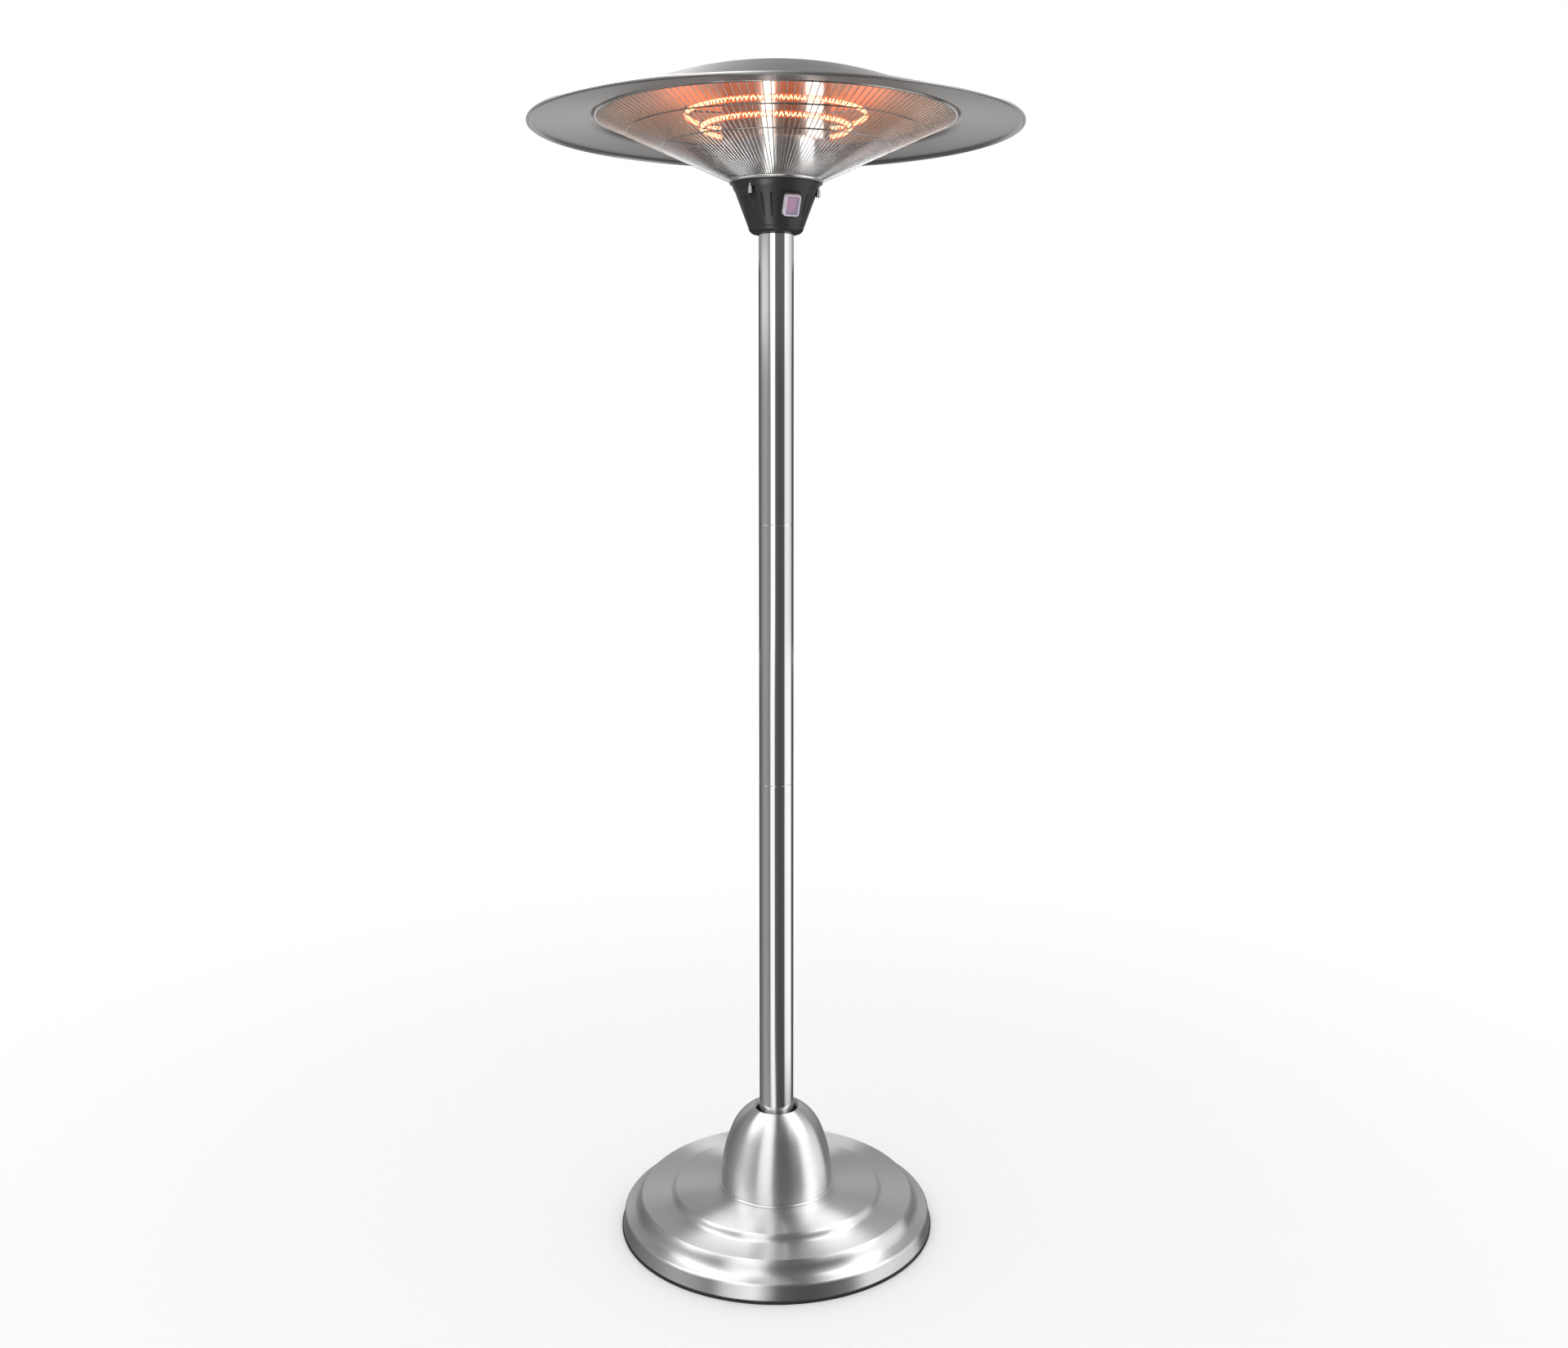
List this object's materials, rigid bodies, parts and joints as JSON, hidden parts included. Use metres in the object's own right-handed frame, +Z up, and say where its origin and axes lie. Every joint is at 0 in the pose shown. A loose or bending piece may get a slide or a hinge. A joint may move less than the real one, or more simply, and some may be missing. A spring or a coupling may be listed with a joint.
{
  "type": "freestanding heater",
  "caption": "Freestanding electric heater: a weighted round base, a steel pole and a ring-lamp head behind a wire guard under a wide round shade.",
  "frame": {"origin": "on the floor, on the pole's axis", "axes": "+Z up along the pole; the front, with the switch a little to its right, faces -Y"},
  "size_m": [0.8006, 0.8006, 1.9333],
  "materials": {
    "polished_steel": "polished, with fine turning lines",
    "shade_aluminium": "satin",
    "reflector_aluminium": "bright",
    "chromed_wire": "bright",
    "chromed_screw": "bright",
    "black_moulding": "semi-gloss moulding",
    "switch_black": "fine matt",
    "rocker_red": "translucent gloss",
    "clear_silicone": "milky, translucent",
    "terminal_white": "matt",
    "black_rubber": "matt",
    "ballast_stone": "cast, rough",
    "zinc_steel": "zinc plated",
    "quartz": "clear",
    "glowing_filament": "glowing",
    "lamp_ceramic": "matt"
  },
  "bodies": {
    "stand": {"ballast_disc": "ballast_stone", "base_cover": "polished_steel", "drum_lid": "reflector_aluminium", "flange_bolts": "zinc_steel", "flange_washers": "zinc_steel", "foot_pads": "black_rubber", "guard_bottom_ring": "chromed_wire", "guard_inner_hoop": "chromed_wire", "guard_outer_hoop": "chromed_wire", "guard_top_ring": "chromed_wire", "guard_wires": "chromed_wire", "head_socket": "zinc_steel", "housing_screws": "chromed_screw", "inner_reflector": "reflector_aluminium", "lamp_clips": "zinc_steel", "lower_column": "reflector_aluminium", "lower_coupler": "zinc_steel", "lower_filament": "glowing_filament", "lower_lamp": "quartz", "lower_lamp_holders": "lamp_ceramic", "lower_pole": "polished_steel", "middle_pole": "polished_steel", "pole_flange": "zinc_steel", "pole_screws": "zinc_steel", "rocker_pin": "zinc_steel", "rocker_seal": "clear_silicone", "rubber_edge": "black_rubber", "shade": "shade_aluminium", "shade_screws": "chromed_screw", "shade_spacers": "zinc_steel", "support_plate": "zinc_steel", "switch_frame": "switch_black", "switch_housing": "black_moulding", "terminal_block": "terminal_white", "tie_rods": "zinc_steel", "tilt_switch": "switch_black", "upper_coupler": "zinc_steel", "upper_drum": "reflector_aluminium", "upper_filament": "glowing_filament", "upper_lamp": "quartz", "upper_lamp_holders": "lamp_ceramic", "upper_pole": "polished_steel"},
    "bell": {"bell_cover": "polished_steel"},
    "rocker_body": {"rocker": "rocker_red"}
  },
  "joints": [
    {"name": "bell_lift", "type": "slide", "parent": "stand", "child": "bell", "axis": [0, 0, 1], "range_m": [0, 0.25]},
    {"name": "switch_rock", "type": "hinge", "parent": "stand", "child": "rocker_body", "pos_m": [0.02251, -0.05202, 1.70854], "axis": [0.9178, 0.3971, 0], "range_deg": [-22, 0]}
  ]
}
